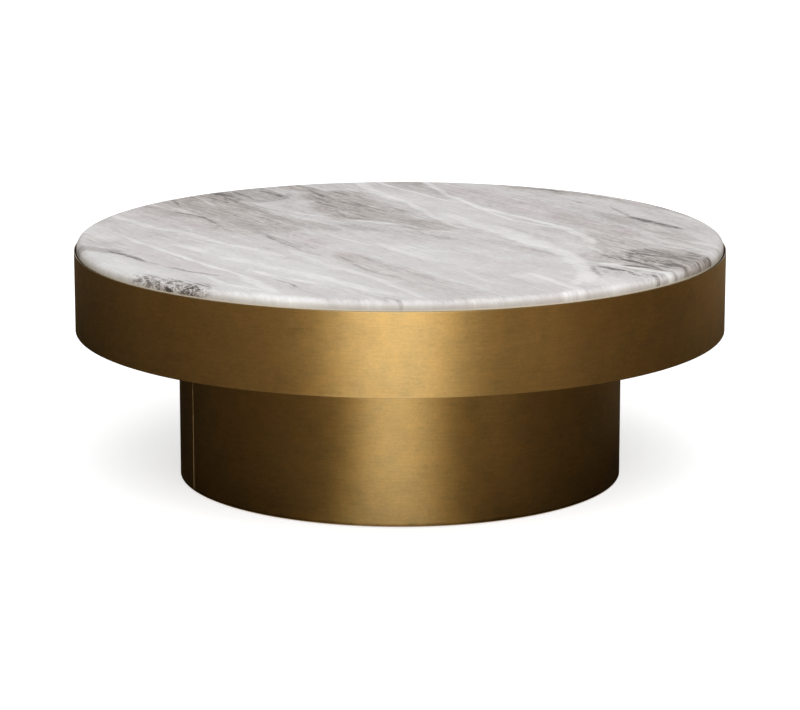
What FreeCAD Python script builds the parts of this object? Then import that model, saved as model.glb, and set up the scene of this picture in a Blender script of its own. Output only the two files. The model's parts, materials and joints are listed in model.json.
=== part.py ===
import FreeCAD, Part
import math
import os

# Round cocktail table. A marble top lies in a drum clad with sheet brass, and the drum is bolted to
# a narrower plinth clad the same way. Behind the brass both are hollow plywood boxes with ribs.
# Lengths are in millimetres and angles in degrees. +Z is up, -Y is the front, and the origin is on
# the floor under the middle of the table.

# Overall sizes
table_diameter = 1200.0
plinth_diameter = 820.0
drum_lower_edge = 279.0
drum_band_height = 149.0

# Stone top, and the silicone pads that it lies on
stone_thickness = 20.0
stone_proud = 18.0
stone_round_radius = 12.0
stone_arris = 1.0
stone_side_gap = 3.5
setting_pad_diameter = 30.0
setting_pad_thickness = 3.0
outer_pad_inset = 90.0
outer_pad_count = 8
inner_pad_circle_radius = 220.0
inner_pad_count = 4

# Sheet brass, with its seams given as angles from +X
brass_thickness = 1.5
brass_easing = 0.4
brass_lip = 1.0
seam_width = 0.5
seam_bevel = 0.8
drum_seam_angle = 90.0
plinth_seam_angle = 203.4
floor_gap = 2.0

# Plywood panels, bent walls and ribs
panel_thickness = 18.0
wall_thickness = 9.0
glue_line = 0.2
rib_inset = 199.0
lap_clearance = 0.2

# Countersunk wood screws
screw_length = 40.0
screw_diameter = 4.0
screw_head_diameter = 8.0
screw_tip_length = 5.0
screw_clearance = 0.1
least_screwed_run = 80.0
screws_per_arm = 2

# Bolts and washers that hold the drum on the plinth
bolt_diameter = 8.0
bolt_head_width = 13.0
bolt_head_height = 5.3
bolt_tip_projection = 0.8
bolt_clearance = 0.5
bolt_inset = 120.0
washer_diameter = 24.0
washer_thickness = 1.6
washer_clearance = 0.2

# Tee nuts for the bolts and the levelling feet
tee_nut_flange_diameter = 22.0
tee_nut_flange_thickness = 1.6
tee_nut_wall = 1.0
tee_nut_barrel_length = 11.0
tee_nut_clearance = 0.1
thread_clearance = 0.1

# Levelling feet: a nylon pad, and a threaded stem with a hexagonal collar and a pin in the pad
leveller_inset = 75.0
foot_pad_diameter = 38.0
foot_pad_height = 7.0
foot_pad_easing = 1.5
foot_socket_depth = 4.0
stem_pin_diameter = 7.0
stem_pin_clearance = 0.1
stem_collar_width = 17.0
stem_collar_height = 5.0
stem_diameter = 8.0
stem_reach = 30.0
running_gap = 0.3

# How far each cut runs past the face that it leaves
cut_overrun = 5.0

# Angles that the round layout uses
full_turn = 360.0
half_turn = 180.0
diagonal_angles = (45.0, 135.0, 225.0, 315.0)

# Radii, from the outside in
table_radius = table_diameter / 2
stone_radius = table_radius - brass_thickness - stone_side_gap
drum_wall_radius = table_radius - brass_thickness - glue_line
drum_panel_radius = drum_wall_radius - wall_thickness - glue_line
plinth_radius = plinth_diameter / 2
plinth_wall_radius = plinth_radius - brass_thickness - glue_line
plinth_panel_radius = plinth_wall_radius - wall_thickness - glue_line
bolt_circle_radius = plinth_panel_radius - bolt_inset
leveller_circle_radius = plinth_panel_radius - leveller_inset

# Heights in the levelling feet, from the floor up
stem_collar_bottom = foot_pad_height + running_gap
stem_collar_top = stem_collar_bottom + stem_collar_height
foot_flange_bottom = stem_collar_top + running_gap
plinth_base_bottom = foot_flange_bottom + tee_nut_flange_thickness

# Heights in the plinth
plinth_base_top = plinth_base_bottom + panel_thickness
plinth_top = drum_lower_edge + brass_lip
plinth_top_panel_bottom = plinth_top - panel_thickness

# Heights in the drum
drum_base_top = plinth_top + panel_thickness
rim_height = drum_lower_edge + drum_band_height
stone_bottom = rim_height + stone_proud - stone_thickness
subtop_top = stone_bottom - setting_pad_thickness
subtop_bottom = subtop_top - panel_thickness

origin = FreeCAD.Vector(0, 0, 0)
up = FreeCAD.Vector(0, 0, 1)
along_x = FreeCAD.Vector(1, 0, 0)


def lathe(outline):
    """Solid turned about Z from a closed outline of (radius, height) corners."""
    corners = [FreeCAD.Vector(radius, 0, height) for radius, height in outline]
    face = Part.Face(Part.makePolygon(corners + corners[:1]))
    return face.revolve(origin, up, full_turn)


def disc(radius, bottom, top):
    """Upright cylinder about Z between two heights."""
    return Part.makeCylinder(radius, top - bottom, FreeCAD.Vector(0, 0, bottom))


def ring(outer_radius, inner_radius, bottom, top):
    """Upright tube about Z between two heights."""
    bore = disc(inner_radius, bottom - cut_overrun, top + cut_overrun)
    return disc(outer_radius, bottom, top).cut(bore)


def box(x_limits, y_limits, z_limits):
    """Box between pairs of limits along each axis."""
    low, high = zip(x_limits, y_limits, z_limits)
    sizes = [end - start for start, end in zip(low, high)]
    return Part.makeBox(*sizes, FreeCAD.Vector(*low))


def hexagon(width, bottom, top):
    """Hexagonal prism about Z, given its width across the flats."""
    corner_radius = width / math.sqrt(3)
    angles = [math.radians(full_turn * side / 6) for side in range(7)]
    corners = [
        FreeCAD.Vector(corner_radius * math.cos(angle), corner_radius * math.sin(angle), bottom)
        for angle in angles
    ]
    return Part.Face(Part.makePolygon(corners)).extrude(up * (top - bottom))


def round_places(radius, angles):
    """Places on a circle about Z, as (x, y)."""
    turns = [math.radians(angle) for angle in angles]
    return [(radius * math.cos(turn), radius * math.sin(turn)) for turn in turns]


def even_angles(count):
    """Angles of copies spread evenly round the circle, none of them on an axis."""
    return [full_turn * (index + 0.5) / count for index in range(count)]


def copies(shape, places, height=0.0):
    """One moved copy of a shape at each (x, y) place."""
    return [shape.translated(FreeCAD.Vector(x, y, height)) for x, y in places]


def turned_over(shape):
    """The shape turned upside down about the X axis."""
    flipped = shape.copy()
    flipped.rotate(origin, along_x, half_turn)
    return flipped


# Stone top and its pads


def stone_slab():
    """Round slab with a quarter-round upper edge and a broken lower arris."""
    top = stone_bottom + stone_thickness
    round_radius = min(stone_round_radius, stone_thickness - 2 * stone_arris)
    flat_radius = stone_radius - round_radius
    round_start = FreeCAD.Vector(stone_radius, 0, top - round_radius)
    round_end = FreeCAD.Vector(flat_radius, 0, top)
    middle = round_radius * math.sqrt(0.5)
    round_middle = FreeCAD.Vector(flat_radius + middle, 0, top - round_radius + middle)
    straight = [
        round_end,
        FreeCAD.Vector(0, 0, top),
        FreeCAD.Vector(0, 0, stone_bottom),
        FreeCAD.Vector(stone_radius - stone_arris, 0, stone_bottom),
        FreeCAD.Vector(stone_radius, 0, stone_bottom + stone_arris),
        round_start,
    ]
    edges = [Part.makeLine(start, end) for start, end in zip(straight, straight[1:])]
    edges.append(Part.Arc(round_start, round_middle, round_end).toShape())
    return Part.Face(Part.Wire(edges)).revolve(origin, up, full_turn)


def setting_pads():
    """Silicone dots in two circles between the stone and the panel under it."""
    outer_circle_radius = stone_radius - outer_pad_inset
    places = round_places(outer_circle_radius, even_angles(outer_pad_count))
    places += round_places(inner_pad_circle_radius, even_angles(inner_pad_count))
    return copies(disc(setting_pad_diameter / 2, subtop_top, stone_bottom), places)


# Sheet brass


def brass_sleeve(outer_radius, bottom, top, seam_angle):
    """Sheet bent into a ring, with eased outer edges and a butt seam with bevelled ends."""
    inner_radius = outer_radius - brass_thickness
    sleeve = lathe([
        (inner_radius, bottom),
        (outer_radius - brass_easing, bottom),
        (outer_radius, bottom + brass_easing),
        (outer_radius, top - brass_easing),
        (outer_radius - brass_easing, top),
        (inner_radius, top),
    ])
    half_gap = seam_width / 2
    half_mouth = half_gap + seam_bevel + cut_overrun
    bevel_radius = outer_radius - seam_bevel
    mouth_radius = outer_radius + cut_overrun
    corners = [
        FreeCAD.Vector(inner_radius - cut_overrun, -half_gap, bottom - cut_overrun),
        FreeCAD.Vector(bevel_radius, -half_gap, bottom - cut_overrun),
        FreeCAD.Vector(mouth_radius, -half_mouth, bottom - cut_overrun),
        FreeCAD.Vector(mouth_radius, half_mouth, bottom - cut_overrun),
        FreeCAD.Vector(bevel_radius, half_gap, bottom - cut_overrun),
        FreeCAD.Vector(inner_radius - cut_overrun, half_gap, bottom - cut_overrun),
    ]
    seam = Part.Face(Part.makePolygon(corners + corners[:1]))
    seam = seam.extrude(up * (top - bottom + 2 * cut_overrun))
    seam.rotate(origin, up, seam_angle)
    return sleeve.cut(seam)


# Fasteners


def screw_outline(clearance):
    """Outline of a countersunk screw that points down from z = 0, grown by a clearance."""
    head_radius = screw_head_diameter / 2
    shank_radius = screw_diameter / 2
    return [
        (0, 0),
        (head_radius + clearance, 0),
        (shank_radius + clearance, shank_radius - head_radius),
        (shank_radius + clearance, screw_tip_length - screw_length),
        (0, -screw_length - clearance),
    ]


def screw():
    """Countersunk screw, its head's face at z = 0."""
    return lathe(screw_outline(0))


def screw_hole():
    """Countersunk hole for a screw, open above z = 0."""
    mouth = disc(screw_head_diameter / 2 + screw_clearance, 0, cut_overrun)
    return lathe(screw_outline(screw_clearance)).fuse(mouth)


def tee_nut(thread_diameter):
    """Flanged nut, its flange lying on top of z = 0 and its barrel below."""
    bore_radius = thread_diameter / 2 + thread_clearance
    barrel_radius = thread_diameter / 2 + tee_nut_wall
    return lathe([
        (bore_radius, tee_nut_flange_thickness),
        (tee_nut_flange_diameter / 2, tee_nut_flange_thickness),
        (tee_nut_flange_diameter / 2, 0),
        (barrel_radius, 0),
        (barrel_radius, -tee_nut_barrel_length),
        (bore_radius, -tee_nut_barrel_length),
    ])


def barrel_hole(thread_diameter, bottom, top):
    """Hole through a panel for the barrel of a tee nut."""
    radius = thread_diameter / 2 + tee_nut_wall + tee_nut_clearance
    return disc(radius, bottom - cut_overrun, top + cut_overrun)


def joining_bolt():
    """Hexagon bolt pointing up, its head seated on a washer under the plinth's top panel."""
    seat = plinth_top_panel_bottom - washer_thickness
    tip = drum_base_top + tee_nut_flange_thickness + bolt_tip_projection
    head = hexagon(bolt_head_width, seat - bolt_head_height, seat)
    return head.fuse(disc(bolt_diameter / 2, seat, tip))


def joining_washer():
    """Flat washer between a bolt's head and the plinth's top panel."""
    bore_radius = bolt_diameter / 2 + washer_clearance
    seat = plinth_top_panel_bottom
    return ring(washer_diameter / 2, bore_radius, seat - washer_thickness, seat)


# Levelling feet


def foot_pad():
    """Nylon pad with eased edges and a socket for the stem's pin."""
    radius = foot_pad_diameter / 2
    body = lathe([
        (0, 0),
        (radius - foot_pad_easing, 0),
        (radius, foot_pad_easing),
        (radius, foot_pad_height - foot_pad_easing),
        (radius - foot_pad_easing, foot_pad_height),
        (0, foot_pad_height),
    ])
    socket_radius = stem_pin_diameter / 2 + stem_pin_clearance
    socket_floor = foot_pad_height - foot_socket_depth
    return body.cut(disc(socket_radius, socket_floor, foot_pad_height + cut_overrun))


def foot_stem():
    """Threaded stem with a hexagonal collar, and a pin that turns in the pad."""
    pin = disc(stem_pin_diameter / 2, stem_collar_bottom - foot_socket_depth, stem_collar_bottom)
    collar = hexagon(stem_collar_width, stem_collar_bottom, stem_collar_top)
    thread = disc(stem_diameter / 2, stem_collar_top, stem_collar_top + stem_reach)
    return pin.fuse(collar).fuse(thread)


# Plywood


def chord_half(radius, offset):
    """Half the length of an upright board that stands in a round wall, away from the middle."""
    return math.sqrt(radius**2 - (abs(offset) + panel_thickness / 2) ** 2)


def board(half_length, offset, crossings, bottom, top, lap_from_top):
    """Upright board along X at y = offset, with half-lap notches where others cross it."""
    half_board = panel_thickness / 2
    sides = (offset - half_board, offset + half_board)
    blank = box((-half_length, half_length), sides, (bottom, top))
    half_notch = (panel_thickness + lap_clearance) / 2
    middle = (bottom + top) / 2
    notch_heights = (middle, top + cut_overrun) if lap_from_top else (bottom - cut_overrun, middle)
    notch_sides = (sides[0] - cut_overrun, sides[1] + cut_overrun)
    for place in crossings:
        notch = box((place - half_notch, place + half_notch), notch_sides, notch_heights)
        blank = blank.cut(notch)
    return blank


def across(shape):
    """A board along X mirrored in the plane x = y, so that it lies along Y."""
    return shape.mirror(origin, FreeCAD.Vector(1, -1, 0))


def crossings_on(half_length, offsets):
    """Offsets of the boards that cross a board of this half length."""
    return [offset for offset in offsets if abs(offset) < half_length]


def run_middles(half_length, crossings):
    """Middle of each run of a board between its ends and crossings, if long enough to screw."""
    stops = [-half_length, *crossings, half_length]
    runs = zip(stops, stops[1:])
    return [(start + end) / 2 for start, end in runs if end - start > least_screwed_run]


def both_ways(places):
    """Places on boards along X, and the same places on the boards along Y."""
    return places + [(y, x) for x, y in places]


# Places of the ribs, screws, bolts and feet
rib_offset = drum_panel_radius - rib_inset
rib_offsets = [-rib_offset, 0, rib_offset]
drum_screw_places = []
for offset in rib_offsets:
    rib_half = chord_half(drum_panel_radius, offset)
    middles = run_middles(rib_half, crossings_on(rib_half, rib_offsets))
    drum_screw_places += [(middle, offset) for middle in middles]
drum_screw_places = both_ways(drum_screw_places)

cross_half = chord_half(plinth_panel_radius, 0)
arm_places = [cross_half * (index + 0.5) / screws_per_arm for index in range(screws_per_arm)]
plinth_screw_places = both_ways([(sign * place, 0) for place in arm_places for sign in (-1, 1)])

bolt_places = round_places(bolt_circle_radius, diagonal_angles)
leveller_places = round_places(leveller_circle_radius, diagonal_angles)

# Screws and their holes: places, the height of the heads' faces, and whether they point up
screw_groups = {
    "subtop_screws": (drum_screw_places, subtop_top, False),
    "drum_base_screws": (drum_screw_places, plinth_top, True),
    "plinth_top_screws": (plinth_screw_places, plinth_top, False),
    "plinth_base_screws": (plinth_screw_places, plinth_base_bottom, True),
}
screws = {}
screw_holes = {}
for name, (places, height, points_up) in screw_groups.items():
    one_screw = turned_over(screw()) if points_up else screw()
    one_hole = turned_over(screw_hole()) if points_up else screw_hole()
    screws[name] = copies(one_screw, places, height)
    screw_holes[name] = copies(one_hole, places, height)

# Holes for the bolts and tee nuts
bolt_hole_radius = bolt_diameter / 2 + bolt_clearance
bolt_hole = disc(bolt_hole_radius, plinth_top_panel_bottom - cut_overrun, plinth_top + cut_overrun)
bolt_holes = copies(bolt_hole, bolt_places)
joining_nut_holes = copies(barrel_hole(bolt_diameter, plinth_top, drum_base_top), bolt_places)
foot_nut_hole = barrel_hole(stem_diameter, plinth_base_bottom, plinth_base_top)
foot_nut_holes = copies(foot_nut_hole, leveller_places)

# Pieces
pieces = {}
pieces["stone_top"] = stone_slab()
pieces["stone_setting_pads"] = Part.makeCompound(setting_pads())

pieces["drum_band"] = brass_sleeve(table_radius, drum_lower_edge, rim_height, drum_seam_angle)
drum_wall_bore = drum_wall_radius - wall_thickness
pieces["drum_wall"] = ring(drum_wall_radius, drum_wall_bore, plinth_top, subtop_top)
subtop = disc(drum_panel_radius, subtop_bottom, subtop_top)
pieces["drum_subtop"] = subtop.cut(screw_holes["subtop_screws"])
drum_base = disc(drum_panel_radius, plinth_top, drum_base_top)
pieces["drum_base_panel"] = drum_base.cut(screw_holes["drum_base_screws"] + joining_nut_holes)

rib_holes = screw_holes["subtop_screws"] + screw_holes["drum_base_screws"]
for number, offset in enumerate(rib_offsets, start=1):
    rib_half = chord_half(drum_panel_radius, offset)
    crossings = crossings_on(rib_half, rib_offsets)
    rib_x = board(rib_half, offset, crossings, drum_base_top, subtop_bottom, True)
    rib_y = across(board(rib_half, offset, crossings, drum_base_top, subtop_bottom, False))
    pieces[f"drum_rib_x_{number}"] = rib_x.cut(rib_holes)
    pieces[f"drum_rib_y_{number}"] = rib_y.cut(rib_holes)

pieces["plinth_wrap"] = brass_sleeve(plinth_radius, floor_gap, plinth_top, plinth_seam_angle)
plinth_wall_bore = plinth_wall_radius - wall_thickness
pieces["plinth_wall"] = ring(plinth_wall_radius, plinth_wall_bore, floor_gap + brass_lip, plinth_top)
plinth_top_disc = disc(plinth_panel_radius, plinth_top_panel_bottom, plinth_top)
pieces["plinth_top_panel"] = plinth_top_disc.cut(screw_holes["plinth_top_screws"] + bolt_holes)
plinth_base_disc = disc(plinth_panel_radius, plinth_base_bottom, plinth_base_top)
pieces["plinth_base_panel"] = plinth_base_disc.cut(screw_holes["plinth_base_screws"] + foot_nut_holes)

cross_holes = screw_holes["plinth_top_screws"] + screw_holes["plinth_base_screws"]
cross_x = board(cross_half, 0, [0], plinth_base_top, plinth_top_panel_bottom, True)
cross_y = across(board(cross_half, 0, [0], plinth_base_top, plinth_top_panel_bottom, False))
pieces["plinth_cross_panel_x"] = cross_x.cut(cross_holes)
pieces["plinth_cross_panel_y"] = cross_y.cut(cross_holes)

for name, group in screws.items():
    pieces[name] = Part.makeCompound(group)

joining_nuts = copies(tee_nut(bolt_diameter), bolt_places, drum_base_top)
foot_nuts = copies(turned_over(tee_nut(stem_diameter)), leveller_places, plinth_base_bottom)
pieces["joining_bolts"] = Part.makeCompound(copies(joining_bolt(), bolt_places))
pieces["joining_washers"] = Part.makeCompound(copies(joining_washer(), bolt_places))
pieces["joining_tee_nuts"] = Part.makeCompound(joining_nuts)
pieces["leveller_tee_nuts"] = Part.makeCompound(foot_nuts)
for number, pad in enumerate(copies(foot_pad(), leveller_places), start=1):
    pieces[f"leveller_pad_{number}"] = pad
for number, stem in enumerate(copies(foot_stem(), leveller_places), start=1):
    pieces[f"leveller_stem_{number}"] = stem

os.makedirs("parts", exist_ok=True)
for name, shape in pieces.items():
    shape.exportStep(os.path.join("parts", name + ".step"))
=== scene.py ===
import json
import math

import bmesh
import bpy
from mathutils import Matrix, Vector

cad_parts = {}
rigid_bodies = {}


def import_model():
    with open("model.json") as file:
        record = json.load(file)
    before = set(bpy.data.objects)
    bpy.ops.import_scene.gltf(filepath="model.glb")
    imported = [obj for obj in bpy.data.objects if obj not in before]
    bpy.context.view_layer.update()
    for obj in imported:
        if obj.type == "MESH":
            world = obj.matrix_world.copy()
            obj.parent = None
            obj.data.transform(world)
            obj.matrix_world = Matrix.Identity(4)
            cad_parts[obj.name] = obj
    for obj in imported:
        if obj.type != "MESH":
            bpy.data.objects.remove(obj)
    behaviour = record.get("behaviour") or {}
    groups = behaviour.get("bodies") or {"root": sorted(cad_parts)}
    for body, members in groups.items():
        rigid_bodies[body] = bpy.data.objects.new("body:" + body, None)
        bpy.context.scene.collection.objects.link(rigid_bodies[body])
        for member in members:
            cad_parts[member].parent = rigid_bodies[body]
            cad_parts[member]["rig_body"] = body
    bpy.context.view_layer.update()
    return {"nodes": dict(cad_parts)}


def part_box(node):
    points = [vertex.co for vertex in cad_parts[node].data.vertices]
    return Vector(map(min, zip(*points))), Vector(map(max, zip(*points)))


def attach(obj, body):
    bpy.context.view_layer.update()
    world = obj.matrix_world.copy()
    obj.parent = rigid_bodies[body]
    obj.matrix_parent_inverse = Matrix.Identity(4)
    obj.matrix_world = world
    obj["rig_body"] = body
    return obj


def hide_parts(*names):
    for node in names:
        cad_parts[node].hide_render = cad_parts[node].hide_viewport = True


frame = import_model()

bl_info = {
    "name": "Round cocktail table",
    "version": (1, 0, 0),
    "blender": (4, 5, 0),
    "location": "3D View > Sidebar > Table",
    "description": "Dresses a round marble and brass cocktail table around its packed solids",
    "category": "Object",
}

# Lengths are in metres and colours are linear. The frame's -Y is the table's front.
MM = 0.001
UP = Vector((0, 0, 1))
CENTRE = Vector((0, 0, 0))
MERGE_DISTANCE = 1e-6
WHOLE_TURN = 2 * math.pi
ROUND_STEPS = 360
PAD_STEPS = 72
SHAFT_STEPS = 32
THREAD_STEPS = 24
SHARP_ANGLE = math.radians(40)

# The stone's veins run this way in plan, down to the front right.
VEIN_TURN = math.radians(-57)
VEIN_ACROSS = Vector((math.sin(-VEIN_TURN), math.cos(VEIN_TURN), 0))
THROUGH_STONE = 1000.0
VEIN_OVERLAP = 1.8
SAW_TURN = 0.3
STONE_BROWN = (1.0, 0.964, 0.938)
STONE_PINK = (1.0, 0.955, 0.970)
# Painted shade on the lower part of the stone's rounded edge.
STONE_EDGE_SHADE = (0.80, 0.77, 0.715)
# Warm tint of a painted reflection of the brass, low on the stone's edge.
STONE_BRASS_REFLECTION = (0.80, 0.70, 0.52)


def display(red, green, blue):
    """Linear colour of a display colour in 0 to 255."""
    def linear(level):
        share = level / 255
        return share / 12.92 if share <= 0.04045 else ((share + 0.055) / 1.055) ** 2.4
    return linear(red), linear(green), linear(blue)


def length_prop(name, description, default):
    return bpy.props.FloatProperty(
        name=name, description=description, default=default, min=0, precision=5, unit="LENGTH"
    )


def angle_prop(name, description, degrees):
    return bpy.props.FloatProperty(
        name=name, description=description, default=math.radians(degrees), subtype="ANGLE"
    )


def colour_prop(name, description, default):
    return bpy.props.FloatVectorProperty(
        name=name, description=description, default=default, size=3, min=0, max=1, subtype="COLOR"
    )


def share_prop(name, description, default):
    return bpy.props.FloatProperty(
        name=name, description=description, default=default, min=0, max=4, subtype="FACTOR"
    )


class TableSizes(bpy.types.PropertyGroup):
    """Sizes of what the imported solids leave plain."""

    stone_round: length_prop("Stone round", "Radius of the stone's upper edge", 0.012)
    stone_arris: length_prop("Stone arris", "Broken lower edge of the stone", 0.001)
    brass_sheet: length_prop("Brass sheet", "Thickness of the sheet brass", 0.0015)
    brass_easing: length_prop("Brass easing", "Rounding of the sheet's outer edges", 0.0006)
    seam_gap: length_prop("Seam gap", "Gap between the ends of a brass sheet", 0.0005)
    drum_seam: angle_prop("Drum seam", "Angle of the drum's seam from +X", 90)
    plinth_seam: angle_prop("Plinth seam", "Angle of the plinth's seam from +X", 203.4)
    foot_easing: length_prop("Foot easing", "Rounding of a levelling pad", 0.0015)
    foot_socket: length_prop("Foot socket", "Diameter of a levelling pad's socket", 0.0072)
    foot_socket_depth: length_prop("Foot socket depth", "Depth of a levelling pad's socket", 0.004)
    stem_pin: length_prop("Stem pin", "Diameter of the pin under a stem's collar", 0.007)
    stem_collar: length_prop("Stem collar", "Height of a stem's hexagonal collar", 0.005)
    stem_thread: length_prop("Stem thread", "Outer diameter of a stem's thread", 0.008)
    stem_pitch: length_prop("Stem pitch", "Rise of a stem's thread in a turn", 0.00125)


class TableFinishes(bpy.types.PropertyGroup):
    """Colours and gloss of the finishes."""

    brass: colour_prop("Brass", "Rubbed sheet brass", display(232, 199, 138))
    patina: colour_prop("Patina", "Aged clouds on the brass", display(217, 179, 114))
    brass_roughness: share_prop("Brass roughness", "Satin of the brass", 0.31)
    stone_white: colour_prop("Stone white", "Palest veins", display(232, 230, 229))
    stone_pale: colour_prop("Stone pale", "Pale grey of the stone", display(214, 212, 210))
    stone_mid: colour_prop("Stone mid", "Middle tone of the stone", display(198, 194, 193))
    stone_taupe: colour_prop("Stone taupe", "Brownish bands", display(166, 160, 157))
    stone_dark: colour_prop("Stone dark", "Darkest marks", display(84, 78, 74))
    stone_roughness: share_prop("Stone roughness", "Honed face of the stone", 0.46)


class TableStage(bpy.types.PropertyGroup):
    """Floor, light and camera."""

    floor: share_prop("Floor", "How pale the floor is", 0.8)
    sky: share_prop("Sky", "Soft light from all round", 0.5)
    key: share_prop("Key", "Soft light from the front above", 2.35)
    camera_height: length_prop("Camera height", "Height of the camera", 1.617)
    camera_distance: length_prop("Camera distance", "Camera to the table's middle", 6.237)
    camera_tilt: angle_prop("Camera tilt", "How far the camera looks down", 12.627)


def sizes():
    return bpy.context.scene.cocktail_table_sizes


def finishes():
    return bpy.context.scene.cocktail_table_finishes


def stage_values():
    return bpy.context.scene.cocktail_table_stage


class Lead:
    """An output of a finish's nodes. Sums on it add Math nodes."""

    def __init__(self, finish, socket):
        self.finish = finish
        self.socket = socket

    def math(self, operation, *values):
        inputs = dict(enumerate(values))
        return self.finish.node("ShaderNodeMath", {"operation": operation}, inputs)

    def __add__(self, other):
        return self.math("ADD", self, other)

    def __sub__(self, other):
        return self.math("SUBTRACT", self, other)

    def __rsub__(self, other):
        return self.math("SUBTRACT", other, self)

    def __mul__(self, other):
        return self.math("MULTIPLY", self, other)

    def __truediv__(self, other):
        return self.math("DIVIDE", self, other)

    def __abs__(self):
        return self.math("ABSOLUTE", self)

    def at_most(self, other):
        return self.math("MINIMUM", self, other)

    def at_least(self, other):
        return self.math("MAXIMUM", self, other)

    def over(self, other):
        return self.math("GREATER_THAN", self, other)

    __radd__ = __add__
    __rmul__ = __mul__


class Finish:
    """The nodes of a material, or of the world."""

    def __init__(self, owner, shader="Principled BSDF"):
        owner.use_nodes = True
        self.owner = owner
        self.nodes = owner.node_tree.nodes
        self.links = owner.node_tree.links
        self.shader = self.nodes[shader]
        self.place = self.node("ShaderNodeTexCoord", output="Object")

    def join(self, value, socket):
        if isinstance(value, Lead):
            self.links.new(value.socket, socket)
        elif hasattr(socket.default_value, "__len__") and len(socket.default_value) == 4:
            socket.default_value = (*value[:3], 1)
        else:
            socket.default_value = value

    def node(self, kind, settings=None, inputs=None, output=0):
        node = self.nodes.new(kind)
        for name, value in (settings or {}).items():
            if name == "stops":
                elements = node.color_ramp.elements
                ends = (elements[0], elements[1])
                for element, (position, colour) in zip(ends, (value[0], value[-1])):
                    element.position = position
                    element.color = (*colour, 1)
                for position, colour in value[1:-1]:
                    elements.new(position).color = (*colour, 1)
            else:
                setattr(node, name, value)
        for name, value in (inputs or {}).items():
            self.join(value, node.inputs[name])
        return Lead(self, node.outputs[output])

    def vector(self, operation, *values, output=0):
        inputs = dict(enumerate(values))
        return self.node("ShaderNodeVectorMath", {"operation": operation}, inputs, output)

    def axis(self, place, name):
        return self.node("ShaderNodeSeparateXYZ", None, {"Vector": place}, name)

    def grey(self, level):
        return self.node("ShaderNodeCombineColor", None, dict.fromkeys(("Red", "Green", "Blue"), level))

    def shifted(self, place, way, amount):
        """Place moved by an amount of a vector."""
        inputs = {"Vector": way, "Scale": amount}
        step = self.node("ShaderNodeVectorMath", {"operation": "SCALE"}, inputs)
        return self.vector("ADD", place, step)

    def stretched(self, place, turn, runs):
        """Place turned about Z and measured in runs along each axis."""
        inputs = {"Vector": place, "Rotation": (0, 0, turn), "Scale": runs}
        return self.node("ShaderNodeMapping", {"vector_type": "TEXTURE"}, inputs)

    def noise(self, place, scale, detail=2.0, roughness=0.5, output=0):
        inputs = {"Vector": place, "Scale": scale, "Detail": detail, "Roughness": roughness}
        return self.node("ShaderNodeTexNoise", None, inputs, output)

    def streaks(self, place, turn, runs, detail=2.0, roughness=0.5):
        """Noise drawn out along the axes of a turned place."""
        return self.noise(self.stretched(place, turn, runs), 1, detail, roughness)

    def fade(self, value, start, end, amount=1.0):
        """Smooth change from 0 at start to the amount at end."""
        settings = {"interpolation_type": "SMOOTHSTEP", "clamp": False}
        inputs = {"Value": value, "From Min": start, "From Max": end, "To Max": amount}
        return self.node("ShaderNodeMapRange", settings, inputs)

    def mixed(self, share, first, second, blend="MIX"):
        settings = {"data_type": "RGBA", "blend_type": blend, "clamp_factor": True}
        return self.node("ShaderNodeMix", settings, {0: share, 6: first, 7: second}, 2)

    def ramp(self, value, stops):
        return self.node("ShaderNodeValToRGB", {"stops": stops}, {"Fac": value})

    def along(self, place, start, end, width):
        """Place measured in half lengths of a line, drawn out a little, and half widths across it."""
        start, end = Vector((*start, 0)) * MM, Vector((*end, 0)) * MM
        run = end - start
        inputs = {
            "Vector": place,
            "Location": (start + end) / 2,
            "Rotation": (0, 0, math.atan2(run.y, run.x)),
            "Scale": (run.length / 2 * VEIN_OVERLAP, width / 2 * MM, THROUGH_STONE),
        }
        return self.node("ShaderNodeMapping", {"vector_type": "TEXTURE"}, inputs)

    def veins(self, place, runs, core):
        """Amounts of the strongest of the veins at a place."""
        strongest = None
        for width, amount, *places in runs:
            for start, end in zip(places, places[1:]):
                local = {"Vector": self.along(place, start, end, width)}
                depth = self.node("ShaderNodeTexGradient", {"gradient_type": "SPHERICAL"}, local, "Fac")
                share = self.fade(depth, 0, 1 - core, amount)
                strongest = share if strongest is None else strongest.at_least(share)
        return strongest

    def bump(self, height, distance, strength=1.0):
        inputs = {"Height": height, "Distance": distance, "Strength": strength}
        return self.node("ShaderNodeBump", None, inputs)

    def set(self, **values):
        """Sets the shader's sockets, an underscore standing for a space."""
        for name, value in values.items():
            self.join(value, self.shader.inputs[name.replace("_", " ")])
        return self.owner


def new_finish(name):
    return Finish(bpy.data.materials.new(name))


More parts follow.
